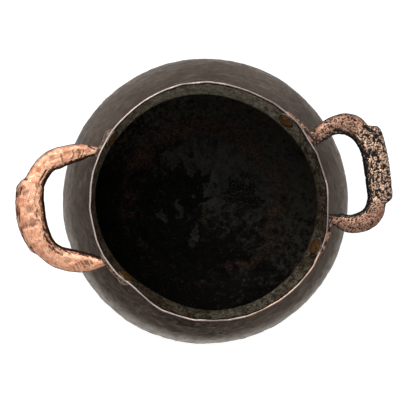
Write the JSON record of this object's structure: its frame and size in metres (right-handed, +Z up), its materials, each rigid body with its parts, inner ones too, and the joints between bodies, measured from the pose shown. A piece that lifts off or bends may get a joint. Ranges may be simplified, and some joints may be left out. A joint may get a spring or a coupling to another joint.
{
  "type": "copper cooking bowl",
  "caption": "Round-bellied hammered copper cooking bowl with a narrow neck, a flaring collar and cast loop handles riveted to the collar.",
  "frame": {"origin": "middle of the flat base, on the axis of the belly", "axes": "+Z up through the mouth; +X out through the middle of the bowl towards the side of the right-hand handle; +Y to the rear"},
  "size_m": [0.3985, 0.3258, 0.2178],
  "materials": {
    "body": "hand-hammered copper under a dark brown patina, worn bright along the rim, old dull tinning and soot inside",
    "handle_left": "cast copper, rubbed smooth and salmon pink, softly dented",
    "handle_right": "cast copper, worn, with many black casting pits",
    "rivet": "hammered copper rivets, brown, edges dark"
  },
  "bodies": {
    "root": {"body": "body", "handle_left": "handle_left", "handle_right": "handle_right", "rivet_left_rear": "rivet", "rivet_left_front": "rivet", "rivet_right_rear": "rivet", "rivet_right_front": "rivet"}
  },
  "joints": []
}
